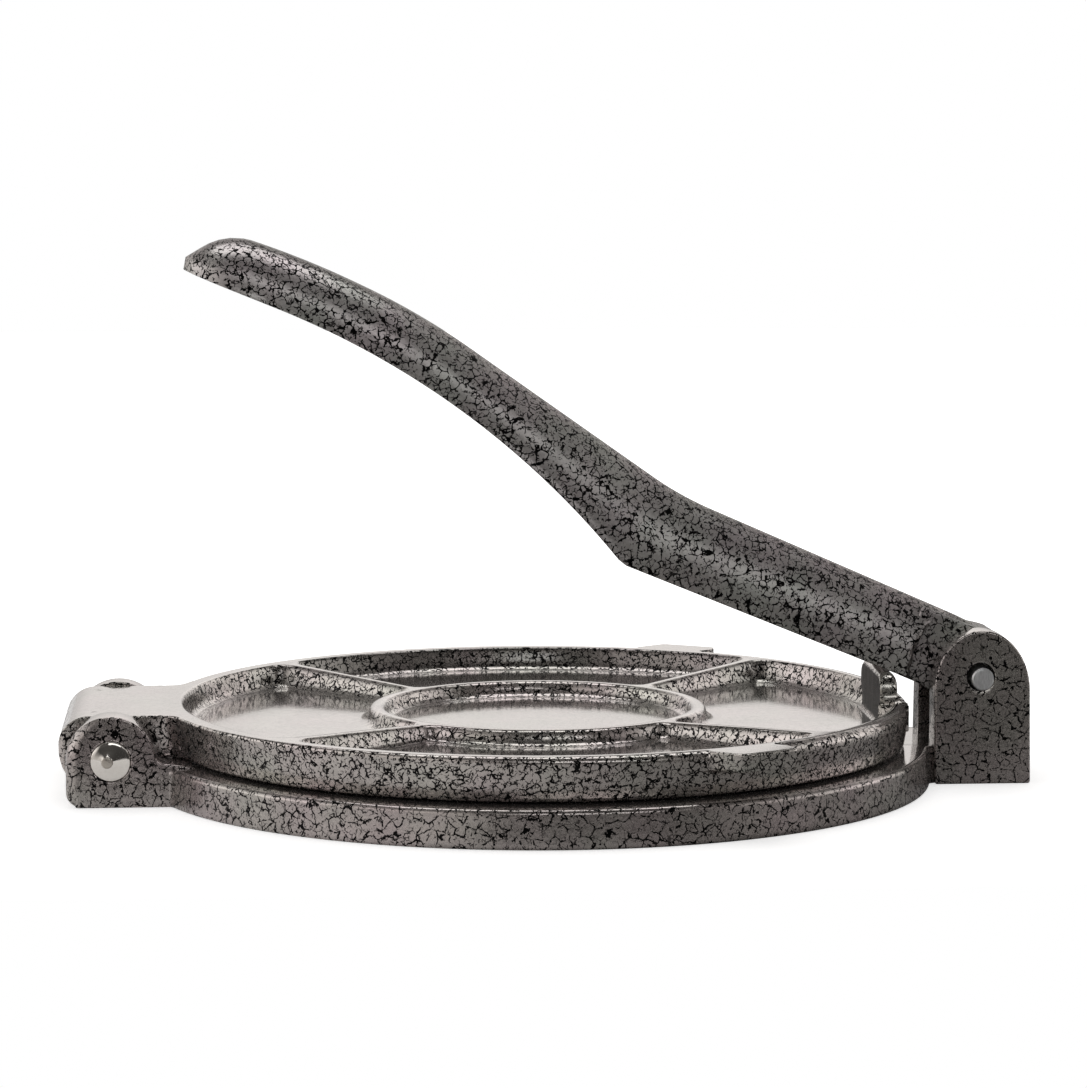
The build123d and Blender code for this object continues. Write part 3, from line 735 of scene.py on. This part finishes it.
# ---------------------------------------------------------------- handle
# A cast iron lever, channelled underneath so that its section is an arch: a grip that curves up to
# a rounded tip, a straight arm, and a narrow boss that turns between the ears of the clevis.
handle_grey = (0.5, 0.48, 0.475, 1)
handle_coating = coating("handle coating", 460.0, 0.078, 0.9, handle_grey, (0.9, 1.05), 0.1, 0.35, 0.15)


def strung(points, radii):
    """Line of straight runs joined by arcs of the given radii, with its length from the start."""
    points = np.array(points, float)
    arcs = [arc(*place) for place in zip(points, points[1:], points[2:], radii)]
    line = np.concatenate([points[:1]] + arcs + [points[-1:]])
    length = np.concatenate([[0], np.cumsum(np.linalg.norm(np.diff(line, axis=0), axis=1))])
    return line, length


back, back_length = strung([(-93.3, 140.6), (-82.3, 147.2), (-60.5, 139.6), (-31.3, 125.55), (38.4, 76.2),
                            (112.6, 43.6), (118.0, 41.0)], [16.0, 240.0, 190.0, 90.0, 6.0])
below, below_length = strung([(-93.9, 137.4), (-16.7, 106.2), (21.7, 59.2), (100.5, 27.0), (108.0, 22.0)],
                             [225.0, 0.4, 3.0])


def nearest(line, length, x):
    return np.interp(x, line[:, 0], length)


# where a cut across the handle meets its back and its underside, in x
pairs = np.array([(-93.3, -93.9), (-91.0, -91.5), (-84.0, -86.5), (-72.0, -76.0), (-52.0, -59.0),
                  (-30.0, -38.0), (-6.0, -16.5), (14.0, 5.0), (31.5, 22.6), (56.0, 47.0), (84.0, 75.0),
                  (103.0, 94.0), (110.0, 100.5), (117.9, 107.9)])
stops = pairs[:, 0] - pairs[0, 0]
share = np.concatenate([[0, 0.002, 0.006, 0.012, 0.02, 0.03, 0.042, 0.056], np.linspace(0.072, 0.86, 92),
                        np.linspace(0.865, 1.0, 30)])
back_at = np.interp(share, stops / stops[-1], nearest(back, back_length, pairs[:, 0]))
below_at = np.interp(share, stops / stops[-1], nearest(below, below_length, pairs[:, 1]))
high = np.stack([np.interp(back_at, back_length, back[:, k]) for k in (0, 1)], 1)
low = np.stack([np.interp(below_at, below_length, below[:, k]) for k in (0, 1)], 1)
lean = high - low
tall = np.linalg.norm(lean, axis=1)
from_tip = np.maximum(low[:, 0] + 93.9, 0.06)
to_pivot = np.hypot(*((high + low) / 2 - pivot).T)
half_width = np.sqrt(12.5**2 - np.maximum(12.5 - from_tip, 0) ** 2)
lip = 0.3 * np.clip((from_tip - 12) / 10, 0, 1) * np.clip((30.0 - low[:, 0]) / 20.0, 0, 1)
open_under = np.clip((from_tip - 5.0) / 5.0, 0, 1) * np.clip((to_pivot - 22.0) / 6.0, 0, 1)
upright = 0.2
turn = np.linspace(0, pi, 41)[1:-1]
outer_y = np.concatenate([[-0.97, -1, -1, -1, -1, -1], -np.cos(turn), [1, 1, 1, 1, 1, 0.97]])
outer_v = np.concatenate([[0, 0.012, 0.05, 0.075, 0.12, upright], upright + (1 - upright) * np.sin(turn),
                          [upright, 0.12, 0.075, 0.05, 0.012, 0]])
is_lip = np.where((outer_v < 0.06) & (np.abs(outer_y) > 0.9), 1.0, 0.0)
inner_turn = np.linspace(0, pi, 17)
wall_half = np.maximum(half_width - 4.0, 0.3 * half_width)
roof = np.clip(1 - 5.0 / tall, 0.05, 1) * open_under
section_y = np.concatenate([half_width[:, None] * outer_y + lip[:, None] * is_lip * np.sign(outer_y),
                            wall_half[:, None] * np.cos(inner_turn)], 1)
section_v = np.concatenate([np.broadcast_to(outer_v, (len(share), len(outer_v))),
                            0.001 + roof[:, None] * np.sin(inner_turn) ** 0.6], 1)
place = low[:, None] + lean[:, None] * section_v[..., None]
narrow = np.clip((19.4 - np.linalg.norm(place - (117.6, 27.6), axis=2)) / 1.6, 0, 1)
section_y = section_y * (1 - 0.365 * narrow**2 * (3 - 2 * narrow))
arm_skin = np.stack([place[..., 0], section_y, place[..., 1]], 2)

# boss: a disc about the pin, carried into the arm
around = np.arange(160) / 160 * 2 * pi
away = np.angle(np.exp(1j * (around - radians(157))))
band = np.where(away < 0, 11.3, 8.2) / np.maximum(np.abs(np.sin(away)), 0.05)
band = np.where(np.abs(away) < pi / 2, np.minimum(band, 21.0 / np.maximum(np.cos(away), 0.05)), 0)
boss_reach = (band + 12.1 + np.sqrt((band - 12.1) ** 2 + 1.0)) / 2
boss = pivot + np.stack([np.cos(around), np.sin(around)], 1) * boss_reach[:, None]
boss_skin = slab(boss, -8.05, 8.05, 0.6, 0.6, pivot, 3.06, 0.2)

handle = casting("handle_casting", [(arm_skin, False), (boss_skin, True)], handle_coating)
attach(handle, "handle")
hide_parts("lever")

# ---------------------------------------------------------------- handle pin
# A plain steel rod tight in the boss and loose in the ears, cut off flush; its near end was
# sheared, which left one side flat and bright.
cut_steel = bpy.data.materials.new("cut steel")
cut_steel.use_nodes = True
tree = cut_steel.node_tree
where = tree.nodes.new("ShaderNodeTexCoord").outputs["Object"]
scratch = vectors(tree, "MULTIPLY", where, (1.0, 0.2, 0.25))
scratch = wire(tree, "TexNoise", {"Vector": scratch, "Scale": 3500.0, "Detail": 3.0}).outputs["Fac"]
tint = mixed(tree, scratch, (0.5, 0.505, 0.51, 1), (0.95, 0.955, 0.96, 1))
shader = tree.nodes["Principled BSDF"]
shader.inputs["Metallic"].default_value = 1.0
tree.links.new(tint, shader.inputs["Base Color"])
tree.links.new(stretch(tree, scratch, 0.3, 0.7, 0.35, 0.5), shader.inputs["Roughness"])
bump = wire(tree, "Bump", {"Height": scratch, "Strength": 0.3, "Distance": 0.00005})
tree.links.new(bump.outputs["Normal"], shader.inputs["Normal"])

rod = [(0.4, -17.88), (1.6, -17.88), (2.45, -17.87), (2.66, -17.84), (2.9, -17.68), (3.04, -17.5),
       (3.04, -17.22), (3.04, -17.18), (3.04, -12.0), (3.04, 0.0), (3.04, 12.0), (3.04, 17.0), (2.9, 17.25),
       (2.6, 17.45), (1.2, 17.45)]
rod_skin = lathe(rod, np.zeros(len(rod)), pivot, 96)
flat_side = np.array((sin(radians(45)), cos(radians(45))))
over = (rod_skin[..., 0] - pivot[0]) * flat_side[0] + (rod_skin[..., 2] - pivot[1]) * flat_side[1] - 1.95
over = np.maximum(over, 0) * (rod_skin[..., 1] < -17.2)
rod_skin[..., 0] -= over * flat_side[0]
rod_skin[..., 2] -= over * flat_side[1]
handle_pin = casting("cut_pin", [(rod_skin, False)], cut_steel)
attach(handle_pin, "handle")
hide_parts("lever_pin")

# ---------------------------------------------------------------- studio
# A pale floor in a bright white room, with soft lamps overhead, at each side and low in front. The
# camera stands 1.08 m away, low and a little left.
scene = bpy.context.scene
scene.view_settings.view_transform = "Standard"

camera_data = bpy.data.cameras.new("camera")
camera_data.sensor_width = 36.0
camera_data.lens = 132.6
camera = bpy.data.objects.new("camera", camera_data)
camera.location = (-0.0760, -1.0656, 0.1850)
aim = Vector((0.0016, 0.0, 0.0634)) - camera.location
camera.rotation_mode = "QUATERNION"
camera.rotation_quaternion = aim.to_track_quat("-Z", "Y")
scene.collection.objects.link(camera)
scene.camera = camera


def lamp(name, place, towards, width, height, power):
    data = bpy.data.lights.new(name, "AREA")
    data.shape, data.size, data.size_y, data.energy = "RECTANGLE", width, height, power
    made = bpy.data.objects.new(name, data)
    made.location = place
    made.rotation_mode = "QUATERNION"
    made.rotation_quaternion = (Vector(towards) - Vector(place)).to_track_quat("-Z", "Y")
    scene.collection.objects.link(made)
    return made


lamp("overhead", (0.0, 0.35, 1.3), (0, 0.05, 0.05), 1.2, 1.0, 6)
lamp("left", (-1.25, 0.05, 0.55), (0, 0, 0.05), 1.2, 0.9, 1.8)
lamp("right", (1.3, 0.1, 0.5), (0, 0, 0.05), 1.0, 0.8, 1)
lamp("front", (0.25, -1.35, 0.63), (0, 0, 0.08), 1.0, 0.34, 2)

# the table ends a little in front of the press, where the room is dark; to the camera both are white
floor_mesh = bpy.data.meshes.new("floor")
floor_mesh.from_pydata([(-2, -0.155, 0), (2, -0.155, 0), (2, 2, 0), (-2, 2, 0)], [], [(0, 1, 2, 3)])
floor = bpy.data.objects.new("floor", floor_mesh)
scene.collection.objects.link(floor)
floor_paint = bpy.data.materials.new("floor")
floor_paint.use_nodes = True
tree = floor_paint.node_tree
shader = tree.nodes["Principled BSDF"]
shader.inputs["Roughness"].default_value = 0.9
shader.inputs["Specular IOR Level"].default_value = 0.0
where = tree.nodes.new("ShaderNodeTexCoord").outputs["Object"]
away = wire(tree, "VectorMath", {0: where}, operation="LENGTH").outputs["Value"]
rays = tree.nodes.new("ShaderNodeLightPath")
seen = maths(tree, "MAXIMUM", rays.outputs["Is Camera Ray"], rays.outputs["Is Transmission Ray"])
white_and_painted_glow = maths(tree, "MULTIPLY", seen, stretch(tree, away, 0.13, 0.26, 0.6, 1.0))
across = wire(tree, "SeparateXYZ", {0: where}).outputs["X"]
# painted glow: in reflections the floor also glows faintly at the left of the press, though it is no lamp
painted_glow_left = stretch(tree, across, -0.08, 0.02, 0.16, 0.0)
white_and_painted_glow = maths(tree, "MAXIMUM", white_and_painted_glow, maths(tree, "MULTIPLY", rays.outputs["Is Glossy Ray"], painted_glow_left))
# painted shadow: in reflections the floor's colour is darkened at the right of the press, as by the press's
# shadow
painted_shadow_right = stretch(tree, across, -0.04, 0.05, 0.0, 0.64)
painted_shadow_right = maths(tree, "MULTIPLY", painted_shadow_right, stretch(tree, across, 0.12, 0.22, 1.0, 0.3))
painted_shadow_in_gloss = maths(tree, "MULTIPLY", rays.outputs["Is Glossy Ray"], painted_shadow_right)
pale_with_painted_shadow = mixed(tree, painted_shadow_in_gloss, (0.86, 0.86, 0.86, 1), (0.05, 0.05, 0.05, 1))
tree.links.new(pale_with_painted_shadow, shader.inputs["Base Color"])
shader.inputs["Emission Color"].default_value = (1, 1, 1, 1)
tree.links.new(white_and_painted_glow, shader.inputs["Emission Strength"])
floor_mesh.materials.append(floor_paint)
floor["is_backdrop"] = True

world = bpy.data.worlds.new("studio")
scene.world = world
world.use_nodes = True
tree = world.node_tree
rays = tree.nodes.new("ShaderNodeLightPath")
seen = maths(tree, "MAXIMUM", rays.outputs["Is Camera Ray"], rays.outputs["Is Transmission Ray"])
room = tree.nodes["Background"]
toward = tree.nodes.new("ShaderNodeTexCoord").outputs["Generated"]
split = wire(tree, "SeparateXYZ", {0: toward})
# the room in reflections: dark in front, white at the left and behind, grey at the right and above;
# round_about is the angle from straight in front, to the right
to_front = maths(tree, "MULTIPLY", split.outputs["Y"], -1.0)
round_about = maths(tree, "ARCTAN2", split.outputs["X"], to_front)
turned = maths(tree, "ADD", round_about, maths(tree, "MULTIPLY", split.outputs["Z"], 0.3))
left_side = stretch(tree, turned, -0.28, -0.46, 0.07, 0.9)
right_side = stretch(tree, round_about, 0.65, 1.2, 0.07, 0.6)
at_back = stretch(tree, maths(tree, "ABSOLUTE", round_about), 1.5, 2.2, 0.0, 0.6)
behind = maths(tree, "ADD", right_side, at_back)
behind = maths(tree, "MINIMUM", maths(tree, "MAXIMUM", left_side, behind), 0.95)
low = maths(tree, "MULTIPLY", stretch(tree, split.outputs["Z"], 0.04, 0.28, 0.66, 1.2),
            stretch(tree, split.outputs["Z"], 0.32, 0.65, 1.0, 0.18))
warm = scaled(tree, (1.0, 0.96, 0.93), maths(tree, "MULTIPLY", behind, low))
tree.links.new(mixed(tree, seen, warm, (1, 1, 1, 1)), room.inputs["Color"])
room.inputs["Strength"].default_value = 1.0

size = {"cad_box": cad_box, "visual_box": [list(corner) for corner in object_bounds()]}
